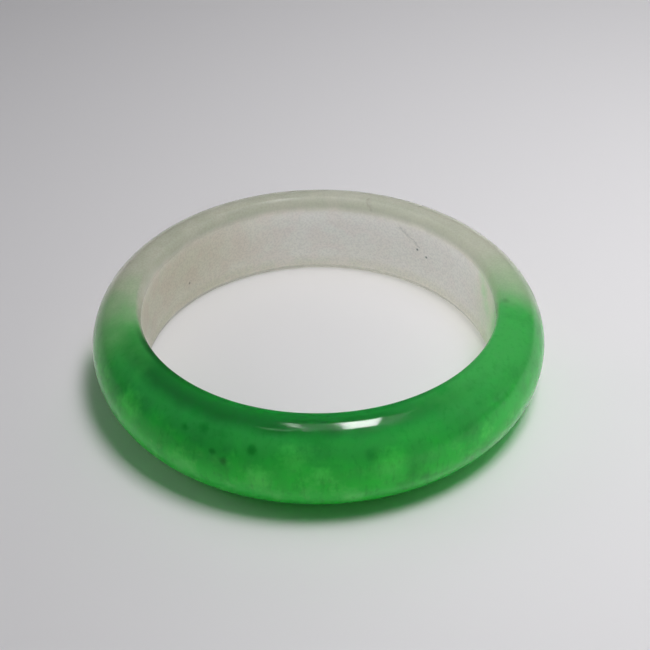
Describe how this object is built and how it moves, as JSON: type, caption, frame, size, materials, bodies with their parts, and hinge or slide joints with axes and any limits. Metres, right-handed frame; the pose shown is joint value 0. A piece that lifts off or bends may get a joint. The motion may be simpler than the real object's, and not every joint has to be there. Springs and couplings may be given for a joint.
{
  "type": "bangle bracelet",
  "caption": "Rigid closed jade bangle with a D-shaped section: straight wrist wall, rounded inner corners, narrow flat rims and a polished domed outside, deep green fading to pale.",
  "frame": {"origin": "centre of the circle that the bangle rests on when it lies flat", "axes": "+Z is the bangle's own axis, straight up through the wrist hole; -Y is the middle of the green arc, and +Y the middle of the pale arc"},
  "size_m": [0.072, 0.072, 0.0148],
  "materials": {
    "jade": "polished"
  },
  "bodies": {
    "root": {"bangle": "jade"}
  },
  "joints": []
}
